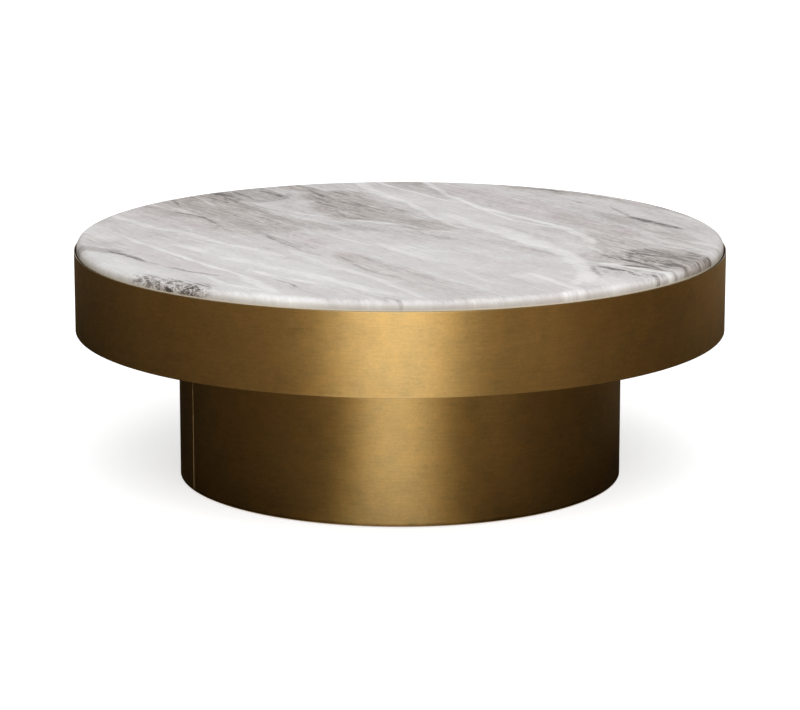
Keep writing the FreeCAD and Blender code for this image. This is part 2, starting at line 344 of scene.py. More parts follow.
# The stone from above, in millimetres from its middle. Bands and veins: width, how much they change the
# tone, and the places they run through.
BROWN_BANDS = (
    # band at the back left, darkest at the rim
    (240, 0.19, (-480, 420), (-390, 310), (-330, 220)),
    (210, 0.15, (-370, 280), (-300, 170), (-240, 50)),
    (100, 0.06, (-250, 70), (-200, -30), (-160, -110)),
    (130, 0.25, (-420, 470), (-345, 360)),
    (60, 0.20, (-330, 300), (-280, 220), (-230, 150)),
    (130, 0.045, (-540, 280), (-450, 200), (-380, 90)),
    (60, 0.08, (-220, 190), (-170, 110), (-130, 50)),
    # patch left of the broad vein
    (155, 0.21, (-145, 460), (-120, 380), (-90, 290)),
    (185, 0.20, (-110, 330), (-80, 250), (-45, 180)),
    (105, 0.17, (-60, 220), (10, 150), (80, 75)),
    (60, 0.20, (-225, 520), (-165, 465), (-120, 430)),
    (50, 0.06, (-110, 90), (-50, 50)),
    (40, 0.11, (20, 50), (60, 0), (100, -40)),
    # right side
    (100, 0.035, (100, 540), (160, 440), (210, 340)),
    (75, 0.17, (220, 545), (280, 505), (340, 455)),
    (60, 0.12, (360, 445), (420, 390), (500, 290)),
    (75, 0.09, (300, 200), (360, 100), (430, 0)),
    (60, 0.12, (390, 210), (460, 80), (530, -30)),
    (130, 0.13, (370, 30), (440, -80), (500, -170)),
    (90, 0.15, (350, -50), (400, -140), (450, -210)),
    (35, 0.14, (480, 0), (530, -80), (580, -140)),
    (170, 0.20, (360, -170), (420, -240), (480, -300)),
    (140, 0.34, (440, -160), (500, -240), (550, -300)),
    # front
    (60, 0.08, (-560, -30), (-520, -100)),
    (85, 0.13, (-100, -190), (-50, -280), (0, -350)),
    (110, 0.10, (-20, -310), (35, -410), (80, -490)),
    (120, 0.07, (50, -430), (100, -520), (130, -580)),
    (35, 0.09, (160, -40), (200, -100), (250, -190)),
)

GREY_BANDS = (
    (130, 0.24, (-340, 510), (-280, 430), (-250, 380)),
    (90, 0.03, (-250, 500), (-200, 400), (-170, 310)),
    (75, 0.15, (0, 610), (35, 510), (85, 410)),
    (32, 0.09, (-35, 590), (-10, 510)),
    (50, 0.08, (300, 470), (350, 425)),
    (50, 0.05, (-270, -100), (-220, -170)),
    (35, 0.08, (-240, 0), (-200, -80), (-150, -170)),
)

PALE_BANDS = (
    (140, 0.09, (20, 450), (100, 300), (190, 140)),
    (70, 0.13, (-590, 100), (-555, 30), (-530, -40)),
    (100, 0.13, (-570, -180), (-500, -290), (-400, -400)),
    (180, 0.10, (-340, -120), (-250, -260), (-120, -440)),
    (110, 0.10, (10, -100), (60, -200), (130, -330)),
    (130, 0.05, (160, -220), (220, -320), (280, -440)),
    (100, 0.06, (340, -330), (410, -380)),
    (110, 0.24, (320, -390), (370, -460)),
    (100, 0.10, (-300, -470), (-200, -560)),
)

PINK_GROUND = (
    (170, 0.8, (100, 520), (200, 370), (310, 210)),
    (100, 0.7, (280, 220), (360, 100), (420, 20)),
    (130, 0.6, (-530, 270), (-440, 170), (-360, 60)),
    (90, 0.8, (-510, -110), (-420, -220), (-330, -360)),
    (100, 0.7, (-190, 0), (-130, -100), (-90, -200)),
    (100, 0.5, (-200, -440), (-120, -550)),
    (170, 0.7, (120, -220), (200, -380), (280, -530)),
    (120, 0.7, (330, -360), (410, -440)),
)

WHITE_VEINS = (
    # broad vein from the back to the front right, and the fine lines beside it
    (34, 0.22, (-80, 590), (-60, 500), (-35, 430), (-10, 370)),
    (14, 0.26, (-45, 590), (0, 500), (35, 455), (90, 365)),
    (26, 0.24, (-30, 440), (20, 330), (50, 240), (75, 160), (115, 80)),
    (70, 0.25, (75, 220), (120, 140), (170, 60)),
    (70, 0.30, (155, 100), (200, 20), (225, -45), (260, -100)),
    (52, 0.28, (220, -30), (275, -130), (300, -200), (312, -270)),
    (40, 0.22, (305, -230), (318, -330), (325, -420)),
    (30, 0.18, (310, -380), (300, -460), (290, -530)),
    # double line along its right border
    (20, 0.27, (50, 590), (70, 520), (90, 440), (125, 365)),
    (18, 0.32, (120, 370), (160, 290), (205, 225), (250, 160), (295, 95)),
    (15, 0.28, (135, 345), (155, 280), (185, 215), (215, 155), (300, 65)),
    (30, 0.28, (290, 100), (315, 50), (335, -10), (350, -70)),
    (16, 0.18, (340, -100), (370, -180)),
    # right side and front right
    (26, 0.40, (355, -265), (400, -295), (470, -355), (510, -390)),
    (12, 0.15, (400, -10), (470, -90), (560, -170)),
    (10, 0.13, (450, 30), (520, -50), (570, -100)),
    (10, 0.26, (500, -225), (560, -275)),
    (24, 0.24, (225, -360), (260, -425), (315, -510)),
    (12, 0.12, (110, -330), (150, -430)),
    (20, 0.14, (520, 220), (570, 120)),
    # back left
    (14, 0.22, (-200, 235), (-150, 200), (-100, 160), (-50, 135), (0, 110)),
    (13, 0.20, (0, 110), (50, 60), (100, 20)),
    (24, 0.15, (-200, 200), (-150, 130), (-110, 70)),
    (14, 0.18, (-400, 410), (-365, 310)),
    (20, 0.14, (-150, 50), (-110, -20), (-60, -90)),
    (24, 0.18, (-540, 200), (-500, 130), (-460, 80), (-400, 30), (-360, -20)),
    # front left
    (15, 0.22, (-510, 0), (-460, -90), (-410, -170)),
    (17, 0.26, (-420, -155), (-360, -250), (-300, -340), (-260, -410)),
    (34, 0.22, (-275, -385), (-240, -450), (-215, -530)),
    (15, 0.20, (-330, -390), (-295, -455), (-240, -505)),
    (26, 0.16, (-400, 10), (-330, -70)),
    (34, 0.16, (-405, -90), (-355, -160)),
    (26, 0.20, (-310, -90), (-250, -150), (-210, -200)),
    (34, 0.18, (-310, -215), (-260, -265), (-200, -325), (-160, -380)),
    (24, 0.20, (-260, -330), (-205, -390), (-150, -440)),
    (26, 0.12, (-190, -150), (-165, -200), (-130, -270), (-80, -345)),
    (20, 0.17, (-100, -300), (-45, -390), (0, -480), (40, -560)),
    (42, 0.24, (-170, -350), (-110, -430), (-20, -535)),
    (24, 0.14, (-30, -90), (10, -165), (50, -230)),
    (30, 0.08, (40, -145), (100, -155)),
    (30, 0.14, (-250, -530), (-150, -575)),
)

DARK_VEINS = (
    # left rim
    (50, 0.30, (-600, -104), (-550, -130), (-505, -165)),
    (14, 0.30, (-600, -118), (-550, -150), (-505, -185)),
    (20, 0.46, (-525, -155), (-490, -190), (-455, -245)),
    (9, 0.20, (-460, -240), (-420, -285), (-380, -330)),
    (13, 0.38, (-400, -300), (-370, -335), (-320, -375)),
    # band at the back left
    (11, 0.30, (-430, 240), (-395, 205), (-365, 165), (-345, 120)),
    (7, 0.12, (-350, 135), (-330, 80), (-310, 30)),
    (11, 0.24, (-447, 370), (-435, 325)),
    (22, 0.15, (-385, 465), (-345, 430)),
    (10, 0.10, (-345, 420), (-340, 345)),
    (14, 0.16, (-325, 460), (-290, 395)),
    (14, 0.23, (-275, 475), (-250, 440), (-235, 415)),
    (9, 0.20, (-205, 205), (-170, 150), (-125, 85)),
    (7, 0.16, (-270, 250), (-235, 180)),
    # patch left of the broad vein
    (15, 0.20, (-180, 475), (-155, 415)),
    (11, 0.28, (-135, 465), (-105, 430)),
    (10, 0.14, (-120, 260), (-105, 200)),
    (12, 0.16, (-90, 180), (-40, 155), (0, 130)),
    (8, 0.16, (-20, 285), (20, 225), (50, 160)),
    (8, 0.14, (-60, 120), (0, 85), (40, 50)),
    # right side
    (14, 0.26, (250, 515), (320, 465)),
    (10, 0.20, (360, 435), (420, 375)),
    (8, 0.14, (490, 310), (540, 210)),
    (10, 0.28, (405, 295), (425, 240), (450, 175)),
    (23, 0.42, (440, 190), (480, 126), (515, 70)),
    (9, 0.20, (468, 34), (517, 4)),
    (8, 0.14, (520, 120), (570, -10)),
    (9, 0.24, (400, -125), (470, -190)),
    (14, 0.30, (430, -178), (468, -206)),
    (20, 0.34, (400, -235), (430, -270), (457, -310)),
    (12, 0.22, (365, -195), (390, -235)),
    (17, 0.55, (395, -285), (440, -310)),
    (13, 0.30, (440, -310), (500, -355)),
    (20, 0.55, (355, -300), (395, -335)),
    (14, 0.30, (335, -310), (345, -385)),
    (12, 0.34, (400, -335), (415, -375)),
    (14, 0.34, (430, -365), (470, -400)),
    (13, 0.20, (480, -210), (550, -265)),
    (8, 0.20, (510, -190), (570, -230)),
    # middle and front
    (9, 0.24, (-245, 0), (-220, -60), (-190, -115)),
    (8, 0.24, (-190, -110), (-170, -150), (-135, -200)),
    (12, 0.16, (-105, -200), (-80, -260), (-60, -310)),
    (9, 0.20, (-60, -310), (-30, -360), (0, -390)),
    (7, 0.30, (-215, -410), (-200, -435)),
    (7, 0.30, (-195, -440), (-175, -485)),
    (16, 0.14, (-250, -115), (-230, -135)),
    (8, 0.16, (-135, -460), (-90, -520)),
    (8, 0.20, (-70, -525), (-30, -565), (10, -605)),
)

# Where the stone is broken: width, how dark, and the places it runs through.
BROKEN_STONE = (
    (120, 0.28, (370, -180), (430, -240), (490, -300)),
    (90, 0.26, (340, -310), (450, -400)),
)
CRAZED_STONE = (
    (75, 0.64, (-465, -370), (-420, -415), (-375, -455)),
    (60, 0.56, (-380, -450), (-325, -495)),
)


def honed_marble(sawn_face, worn_face):
    """Pale streaked marble, its veins running through the slab, honed above and sawn below."""
    looks = finishes()
    stone = new_finish("marble_honed")
    drift, wander = (
        stone.vector("SUBTRACT", stone.noise(stone.place, scale, output="Color"), (0.5,) * 3)
        for scale in (4, 24)
    )
    moved = stone.shifted(stone.shifted(stone.place, drift, 0.03), wander, 0.010)
    run = stone.streaks(moved, VEIN_TURN, (0.26, 0.026, 0.3), 4, 0.55)
    fibre = stone.streaks(moved, VEIN_TURN, (0.09, 0.0064, 0.1))
    hair = stone.streaks(moved, VEIN_TURN, (0.03, 0.0026, 0.05))
    speck = stone.noise(moved, 110)
    cloud = stone.noise(moved, 16, 4, 0.6)
    feathered = stone.shifted(moved, VEIN_ACROSS, (run - 0.5) * 0.060 + (fibre - 0.5) * 0.040)
    frayed = stone.shifted(moved, VEIN_ACROSS, (fibre - 0.5) * 0.010)

    brown = stone.veins(feathered, BROWN_BANDS, 0.7)
    grey = stone.veins(feathered, GREY_BANDS, 0.7)
    pale = stone.veins(feathered, PALE_BANDS, 0.5)
    pink = stone.veins(feathered, PINK_GROUND, 0.3)
    whites = stone.veins(frayed, WHITE_VEINS, 0.42)
    darks = stone.veins(frayed, DARK_VEINS, 0.42)
    crumbs = stone.streaks(moved, VEIN_TURN, (0.026, 0.008, 0.012), 5, 0.7)
    broken = stone.veins(feathered, BROKEN_STONE, 0.4) * stone.fade(crumbs, 0.48, 0.56)
    crack = stone.streaks(moved, VEIN_TURN / 2, (0.030, 0.014, 0.014), 3, 0.6)
    crazed = stone.veins(feathered, CRAZED_STONE, 0.3) * stone.fade(abs(crack - 0.5), 0.0, 0.036)
    crazed = crazed * (0.35 + stone.fade(crumbs, 0.40, 0.56, 0.65))
    ridge = stone.streaks(moved, VEIN_TURN, (0.20, 0.020, 0.3), 3)
    hairline = stone.fade(abs(ridge - 0.47), 0.022, 0.0) * stone.fade(cloud, 0.42, 0.62)
    shadow_line = stone.fade(abs(ridge - 0.56), 0.018, 0.0) * stone.fade(cloud, 0.56, 0.40)

    front = stone.axis(feathered, "Y")
    height = stone.axis(stone.place, "Z")
    grain = (run - 0.5) * 0.36 + (cloud - 0.5) * 0.26 + hairline * 0.12 - shadow_line * 0.10
    streaky = 0.30 + brown * 1.5 + stone.fade(cloud, 0.46, 0.66, 0.36)
    fine = (fibre - 0.5) * streaky + (hair - 0.5) * (0.16 + brown) + (speck - 0.5) * 0.36
    grain = grain + fine * (0.3 + stone.fade(height, worn_face - 0.010, worn_face - 0.001, 0.7))
    tone = 0.48 + stone.fade(front, 0.12, -0.22, 0.12) - brown - grey + pale + grain
    tone = tone + whites * (0.65 + fibre * 0.9) - darks * (0.1 + fibre * 1.7) - broken - crazed
    colour = stone.ramp(tone, (
        (0.0, looks.stone_dark),
        (0.27, looks.stone_taupe),
        (0.5, looks.stone_mid),
        (0.72, looks.stone_pale),
        (1.0, looks.stone_white),
    ))
    colour = stone.mixed(brown * 3.5, colour, STONE_BROWN, "MULTIPLY")
    colour = stone.mixed(pink, colour, STONE_PINK, "MULTIPLY")
    # Darker down the stone's rounded edge towards the brass: painted shade.
    painted_edge_shade = stone.fade(height, worn_face - 0.0035, worn_face - 0.0115)
    colour = stone.mixed(painted_edge_shade, colour, STONE_EDGE_SHADE, "MULTIPLY")
    # A warm line low on the stone's edge, just above the rim: painted reflection of the brass.
    painted_brass_reflection = stone.fade(height, worn_face - 0.0150, worn_face - 0.0172)
    colour = stone.mixed(painted_brass_reflection * 0.75, colour, STONE_BRASS_REFLECTION)
    sawn = stone.fade(height, sawn_face + 0.0006, sawn_face + 0.0003)
    saw = stone.streaks(stone.place, SAW_TURN, (0.4, 0.0016, 0.4))
    return stone.set(
        Base_Color=colour,
        Roughness=looks.stone_roughness + (fibre - 0.5) * 0.10 + sawn * 0.25,
        Specular_IOR_Level=0.28,
        Normal=stone.bump(hair * 0.00003 + sawn * saw * 0.0003, 1.0, 0.8),
    )


# Below this roughness the renderer's denoiser takes a surface for a mirror and draws an outline there.
LEAST_SATIN = 0.285
# Painted shade at the plinth's foot.
BRASS_FOOT_SHADE = display(110, 84, 46)
# Edges lighter from wear and a painted highlight.
BRASS_RUBBED_HIGHLIGHT = display(238, 210, 158)
# The very edges darker from oxide and painted shade.
BRASS_EDGE_OXIDE_AND_SHADE = display(104, 82, 50)


def aged_brass(name, low, high, seam, stands):
    """Sheet brass brushed round the piece, browned in clouds, worn bare at its seam, lighter at its
    edges from wear and a painted highlight, and darker on its very edges from oxide and painted shade.

    Where it stands on the floor its foot gets painted shade instead of the lighter worn edge.
    """
    looks = finishes()
    brass = new_finish(name)
    clouds = brass.noise(brass.place, 6, 4, 0.55)
    mottle = brass.noise(brass.place, 26, 4, 0.6)
    brush = brass.streaks(brass.place, 0, (0.024, 0.024, 0.0030), 3, 0.65)
    lines = brass.streaks(brass.place, 0, (0.20, 0.20, 0.006))
    grit = brass.noise(brass.place, 200, 2, 0.6)
    height = brass.axis(brass.place, "Z")
    edge = (height - low).at_most(high - height)
    # Lighter near the sheet's top and bottom: wear from rubbing, and a painted highlight on the eased
    # edges.
    rubbed_and_highlit = brass.fade(edge + (mottle - 0.5) * 0.004, 0.0028, 0.0006)
    # Darker on the sheet's very top and bottom: oxide on its raw edges, and a painted line of shade
    # along them.
    edge_oxide_and_shade = brass.fade(edge, 0.0005, 0.0001)
    outward = Vector((math.cos(seam), math.sin(seam), 0))
    beside = abs(brass.vector("DOT_PRODUCT", brass.place, outward.cross(UP), output="Value"))
    ahead = brass.vector("DOT_PRODUCT", brass.place, outward, output="Value")
    bared = brass.fade(beside, 0.0014, 0.0005) * ahead.over(0)
    aged = brass.fade(clouds * 0.65 + mottle * 0.35, 0.34, 0.66)
    colour = brass.mixed(aged * 0.8, looks.brass, looks.patina)
    worn = (brush - 0.5) * 0.34 + (lines - 0.5) * 0.10 + (grit - 0.5) * 0.26
    shade = 0.95 + worn + (mottle - 0.5) * 0.60 + (clouds - 0.5) * 0.36
    colour = brass.mixed(1.0, colour, brass.grey(shade), "MULTIPLY")
    if stands:
        # Darker towards the foot, where the sheet meets the floor: painted shade.
        foot_shade = brass.fade(height + (mottle - 0.5) * 0.006, low + 0.008, low + 0.001)
        colour = brass.mixed(foot_shade * 0.7, colour, BRASS_FOOT_SHADE)
        rubbed_and_highlit = rubbed_and_highlit * (1 - foot_shade)
    # Painted highlight, with wear, on the edges.
    colour = brass.mixed(rubbed_and_highlit * 0.5, colour, BRASS_RUBBED_HIGHLIGHT)
    # Painted shade, with oxide, on the very edges.
    colour = brass.mixed(edge_oxide_and_shade * 0.85, colour, BRASS_EDGE_OXIDE_AND_SHADE)
    roughness = looks.brass_roughness + (brush - 0.5) * 0.10 + (clouds - 0.5) * 0.14
    ripple = brass.noise(brass.place, 9, 1)
    normal = brass.bump(brush * 0.000007 + ripple * 0.0011, 1.0, 0.5)
    return brass.set(
        Base_Color=colour, Roughness=roughness.at_least(LEAST_SATIN) + bared * 0.2,
        Metallic=1 - bared * 0.45, Normal=normal,
        Anisotropic=0.4, Anisotropic_Rotation=0.25,
    )


PLY = 0.0028
BARE_PLY = (display(214, 186, 146), display(176, 138, 96), 0.35, 0.62)
# Dark sealed ply: a real finish on the panels under the drum and plinth, and on the drum wall also
# painted shade for the gap round the stone.
SEALED_PLY = (display(52, 47, 43), display(34, 31, 29), 0.10, 0.82)


def plywood(name, axis, face, sealed):
    """Birch plywood whose plies lie across an axis, 0 to 2, or ring the middle at 3."""
    ply = new_finish(name)
    if axis == 3:
        flat = ply.vector("MULTIPLY", ply.place, (1, 1, 0))
        across = ply.vector("LENGTH", flat, output="Value")
    else:
        across = ply.axis(ply.place, "XYZ"[axis])
    runs = [0.5, 0.5, 0.5]
    runs[(axis + 1) % 3] = 0.012
    grain = ply.streaks(ply.place, 0, runs, 4, 0.6)
    pores = ply.streaks(ply.place, 0, [run / 6 for run in runs], 3, 0.6)
    plies = (across - face) / PLY
    layer = plies.math("PINGPONG", plies, 0.5)
    end = ply.fade(layer, 0.2, 0.3)
    pale, deep, gloss, satin = SEALED_PLY if sealed else BARE_PLY
    colour = ply.mixed(ply.fade(grain, 0.35, 0.7) * 0.6 + end * 0.25, pale, deep)
    colour = ply.mixed(ply.fade(pores, 0.58, 0.7) * 0.35, colour, deep)
    return ply.set(
        Base_Color=colour,
        Roughness=satin + (grain - 0.5) * 0.2,
        Normal=ply.bump(pores, 0.0003, 0.5),
        Specular_IOR_Level=gloss,
    )


def clear_silicone():
    """Milky silicone, a little dusty."""
    silicone = new_finish("silicone_milky")
    haze = silicone.noise(silicone.place, 60, 3)
    colour = silicone.mixed(haze, display(214, 217, 216), display(232, 233, 230))
    return silicone.set(Base_Color=colour, Roughness=0.35 + haze * 0.2)


def zinc_steel():
    """Bright zinc plate with a faint crystal grain."""
    made = bpy.data.materials.get("zinc_plate")
    if made:
        return made
    zinc = new_finish("zinc_plate")
    crystals = zinc.noise(zinc.place, 420, 2)
    film = zinc.noise(zinc.place, 60, 2)
    colour = zinc.mixed(film, display(190, 192, 196), display(206, 203, 193))
    return zinc.set(Base_Color=colour, Roughness=0.3 + crystals * 0.2, Metallic=1.0)


def black_nylon():
    """Moulded black nylon with a fine matt grain."""
    made = bpy.data.materials.get("nylon_black")
    if made:
        return made
    nylon = new_finish("nylon_black")
    grain = nylon.noise(nylon.place, 900, 2)
    scuff = nylon.noise(nylon.place, 70, 4)
    colour = nylon.mixed(nylon.fade(scuff, 0.5, 0.8), display(30, 30, 31), display(58, 57, 56))
    return nylon.set(
        Base_Color=colour, Roughness=0.5 + grain * 0.2, Normal=nylon.bump(grain, 0.0001, 0.6)
    )


def linked(bm, name, material):
    """Turns a mesh into an object of the scene."""
    mesh = bpy.data.meshes.new(name)
    bm.to_mesh(mesh)
    bm.free()
    mesh.materials.append(material)
    obj = bpy.data.objects.new(name, mesh)
    bpy.context.scene.collection.objects.link(obj)
    return obj


def finished(bm, name, node, material):
    """Closes a mesh into a piece that rides where its CAD node rides."""
    bmesh.ops.remove_doubles(bm, verts=bm.verts, dist=MERGE_DISTANCE)
    bmesh.ops.recalc_face_normals(bm, faces=bm.faces)
    for face in bm.faces:
        face.smooth = True
    piece = linked(bm, name, material)
    piece.data.set_sharp_from_angle(angle=SHARP_ANGLE)
    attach(piece, frame["nodes"][node]["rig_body"])
    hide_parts(node)


def outline(bm, corners, closed=False):
    """Edges through (radius, height) corners, in the XZ plane."""
    verts = [bm.verts.new((radius, 0, height)) for radius, height in corners]
    ends = verts[1:] + verts[:1] if closed else verts[1:]
    for start, end in zip(verts, ends):
        bm.edges.new((start, end))
    return verts


def rounded(bm, geom, radius, segments, affect="VERTICES"):
    """Rounds corners of an outline, or edges."""
    bmesh.ops.bevel(
        bm, geom=geom, offset=radius, offset_type="OFFSET", segments=segments,
        profile=0.5, affect=affect, material=-1,
    )


def filled(bm):
    """Closes what is open in the mesh."""
    open_edges = [edge for edge in bm.edges if edge.is_boundary]
    if open_edges:
        bmesh.ops.holes_fill(bm, edges=open_edges, sides=0)


def spun(bm, steps=ROUND_STEPS, turn=WHOLE_TURN, fill=True):
    """Spins all that is in the mesh about Z."""
    bmesh.ops.spin(
        bm, geom=bm.verts[:] + bm.edges[:], cent=CENTRE, axis=UP, angle=turn, steps=steps,
        use_merge=turn == WHOLE_TURN, use_duplicate=False,
    )
    if fill:
        filled(bm)


def turned(bm, angle, axis="Z"):
    """Turns all that is in the mesh."""
    bmesh.ops.rotate(bm, verts=bm.verts, cent=CENTRE, matrix=Matrix.Rotation(angle, 3, axis))


def moved_by(bm, x, y, z):
    """Moves all that is in the mesh."""
    bmesh.ops.translate(bm, verts=bm.verts, vec=(x, y, z))


def verts_in(parts):
    return [part for part in parts if isinstance(part, bmesh.types.BMVert)]


class TABLE_OT_stone_top(bpy.types.Operator):
    """Round marble slab with a rounded upper edge and a sawn underside"""

    bl_idname = "cocktail_table.stone_top"
    bl_label = "Stone top"

    def execute(self, context):
        low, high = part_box("stone_top")
        edge, arris = sizes().stone_round, sizes().stone_arris
        bm = bmesh.new()
        verts = outline(bm, (
            (high.x - 4 * edge, high.z),
            (high.x - 1.1 * edge, high.z),
            (high.x, high.z),
            (high.x, low.z),
            (high.x - 4 * edge, low.z),
        ))
        rounded(bm, [verts[2]], edge, 12)
        rounded(bm, [verts[3]], arris, 2)
        spun(bm)
        finished(bm, "stone_top_slab", "stone_top", honed_marble(low.z, high.z))
        return {"FINISHED"}


def brass_sleeve(name, node, seam, stands=False):
    """Sheet bent into a ring, its outer edges eased and its ends meeting at the seam."""
    low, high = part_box(node)
    outer = (high.x - low.x) / 2
    inner = outer - sizes().brass_sheet
    easing = sizes().brass_easing
    gap = sizes().seam_gap / outer
    bm = bmesh.new()
    outline(bm, ((inner, low.z), (outer, low.z), (outer, high.z), (inner, high.z)), True)
    spun(bm, ROUND_STEPS, WHOLE_TURN - gap)
    outside = [
        edge for edge in bm.edges
        if all(vert.co.xy.length > outer - easing / 2 for vert in edge.verts)
        and edge.calc_face_angle(0) > 1
    ]
    rounded(bm, outside, easing, 4, "EDGES")
    for height in (low.z + 3 * easing, high.z - 3 * easing):
        everything = bm.verts[:] + bm.edges[:] + bm.faces[:]
        bmesh.ops.bisect_plane(bm, geom=everything, plane_co=(0, 0, height), plane_no=UP)
    turned(bm, seam + gap / 2)
    brass = aged_brass(name + "_finish", low.z, high.z, seam, stands)
    finished(bm, name, node, brass)


class TABLE_OT_brass_sleeves(bpy.types.Operator):
    """Sheet brass around the drum and the plinth"""

    bl_idname = "cocktail_table.brass_sleeves"
    bl_label = "Brass sleeves"

    def execute(self, context):
        brass_sleeve("drum_band_sheet", "drum_band", sizes().drum_seam)
        brass_sleeve("plinth_wrap_sheet", "plinth_wrap", sizes().plinth_seam, True)
        return {"FINISHED"}


def coat_nodes(material, names):
    """Gives CAD nodes that keep their shape a finish."""
    for name in names:
        mesh = frame["nodes"][name].data
        mesh.materials.clear()
        mesh.materials.append(material)


def named(*starts):
    return sorted(name for name in frame["nodes"] if name.startswith(starts))


class TABLE_OT_carcass(bpy.types.Operator):
    """Plywood walls, panels and ribs behind the brass"""

    bl_idname = "cocktail_table.carcass"
    bl_label = "Plywood carcass"

    def execute(self, context):
        for names, axis, sealed in (
            (("drum_subtop", "plinth_top_panel"), 2, False),
            (("drum_base_panel", "plinth_base_panel"), 2, True),
            (named("drum_rib_x", "plinth_cross_panel_x"), 1, False),
            (named("drum_rib_y", "plinth_cross_panel_y"), 0, False),
            # Sealed dark where it shows in the gap round the stone: a reveal, and painted shade for that
            # gap.
            (("drum_wall",), 3, True),
            (("plinth_wall",), 3, False),
        ):
            for name in names:
                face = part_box(name)[1][axis % 3]
                coat_nodes(plywood(name + "_ply", axis, face, sealed), [name])
        return {"FINISHED"}


def places_of(node):
    """Lowest and highest corners of each separate solid of a CAD node, in order along X."""
    bm = bmesh.new()
    bm.from_mesh(frame["nodes"][node].data)
    bmesh.ops.remove_doubles(bm, verts=bm.verts, dist=MERGE_DISTANCE)
    places = []
    unseen = set(bm.verts)
    while unseen:
        group, reached = [], [unseen.pop()]
        while reached:
            vert = reached.pop()
            group.append(vert.co.copy())
            near = {edge.other_vert(vert) for edge in vert.link_edges} & unseen
            unseen -= near
            reached += near
        low = Vector(min(co[axis] for co in group) for axis in range(3))
        high = Vector(max(co[axis] for co in group) for axis in range(3))
        places.append((low, high))
    bm.free()
    return sorted(places, key=lambda ends: (round(ends[0].x, 4), round(ends[0].y, 4)))


def middles(ends, height):
    """Middles of pairs of corners, at a height."""
    return [((low + high) / 2).to_2d().to_3d() + UP * height for low, high in ends]


def repeated(bm, places):
    """Copies all that is in the mesh to each place, and moves the first one there too."""
    first = bm.verts[:] + bm.edges[:] + bm.faces[:]
    verts = bm.verts[:]
    for place in places[1:]:
        copy = bmesh.ops.duplicate(bm, geom=first)["geom"]
        bmesh.ops.translate(bm, verts=verts_in(copy), vec=place)
    bmesh.ops.translate(bm, verts=verts, vec=places[0])


# Half the foot of a thread's ridge, and a metric thread's depth, in pitches.
RIDGE_HALF = 0.42
THREAD_DEPTH = 0.61
# How far a stem's thread begins above its collar, ends below its top and is sunk into its core.
THREAD_START = 0.001
THREAD_STOP = 0.0005
THREAD_SUNK = 0.0001


def thread(bm, root, crest, pitch, low, high, steps):
    """Ridge wound up the Z axis from low to high, right-handed."""
    ridge = bmesh.ops.create_circle(bm, segments=3, radius=1)["verts"]
    half = pitch * RIDGE_HALF
    for vert, corner in zip(ridge, ((crest, 0), (root, -half), (root, half))):
        vert.co = (corner[0], 0, low + half + corner[1])
    edges = [edge for edge in bm.edges if edge.verts[0] in ridge]
    turns = (high - low - 2 * half) / pitch
    count = round(turns * steps)
    bmesh.ops.spin(
        bm, geom=ridge + edges, cent=CENTRE, axis=UP, dvec=UP * (turns * pitch / count),
        angle=turns * WHOLE_TURN, steps=count, use_merge=False, use_duplicate=False,
    )
    filled(bm)


SCREW_SIDES = 12
# The cross in a screw's head, in head radii: half an arm's width, its reach, and the depth. Its floor is
# narrower by the taper.
CROSS_ARM = 0.13
CROSS_REACH = 0.56
CROSS_DEPTH = 0.42
CROSS_TAPER = 0.45


def wood_screw(length, radius):
    """Countersunk screw pointing down from z = 0, with a cross in its head."""
    shank, root = radius / 2, radius * 0.36
    tip, plain = length / 8, length * 0.35
    bm = bmesh.new()
    outline(bm, (
        (radius * 0.96, 0), (radius * 0.97, -radius * 0.04), (shank * 0.95, shank - radius),
        (shank * 0.95, -plain), (root, -plain - shank * 0.3), (root, tip - length),
        (root * 0.1, -length),
    ))
    spun(bm, SCREW_SIDES, fill=False)
    turned(bm, math.pi / SCREW_SIDES)
    arm, reach = CROSS_ARM * radius, CROSS_REACH * radius
    corners = []
    for x, y in ((1, 0), (0, 1), (-1, 0), (0, -1)):
        for along, beside in ((reach, -arm), (reach, arm), (arm, arm)):
            corners.append(Vector((x * along - y * beside, y * along + x * beside, 0)))
    rim = [edge for edge in bm.edges if edge.is_boundary and edge.verts[0].co.z > -length / 2]
    face = bmesh.ops.extrude_edge_only(bm, edges=rim)["geom"]
    cross = [part for part in face if isinstance(part, bmesh.types.BMEdge) and part.is_boundary]
    for vert in {vert for edge in cross for vert in edge.verts}:
        vert.co = max(corners, key=lambda corner: corner.normalized().dot(vert.co.normalized()))
    floor = verts_in(bmesh.ops.extrude_edge_only(bm, edges=cross)["geom"])
    bmesh.ops.scale(bm, verts=floor, vec=(CROSS_TAPER, CROSS_TAPER, 1))
    bmesh.ops.translate(bm, verts=floor, vec=-UP * radius * CROSS_DEPTH)
    filled(bm)
    thread(bm, root * 0.9, shank * 0.99, shank, tip - length, -plain, SCREW_SIDES)
    return bm


class TABLE_OT_wood_screws(bpy.types.Operator):
    """Countersunk screws in the drum and the plinth"""

    bl_idname = "cocktail_table.wood_screws"
    bl_label = "Wood screws"

    def execute(self, context):
        for node, points_down in (
            ("subtop_screws", True), ("drum_base_screws", False),
            ("plinth_top_screws", True), ("plinth_base_screws", False),
        ):
            ends = places_of(node)
            low, high = ends[0]
            bm = wood_screw(high.z - low.z, (high.x - low.x) / 2)
            if not points_down:
                turned(bm, math.pi, "X")
            repeated(bm, middles(ends, high.z if points_down else low.z))
            finished(bm, node + "_cross_head", node, zinc_steel())
        return {"FINISHED"}


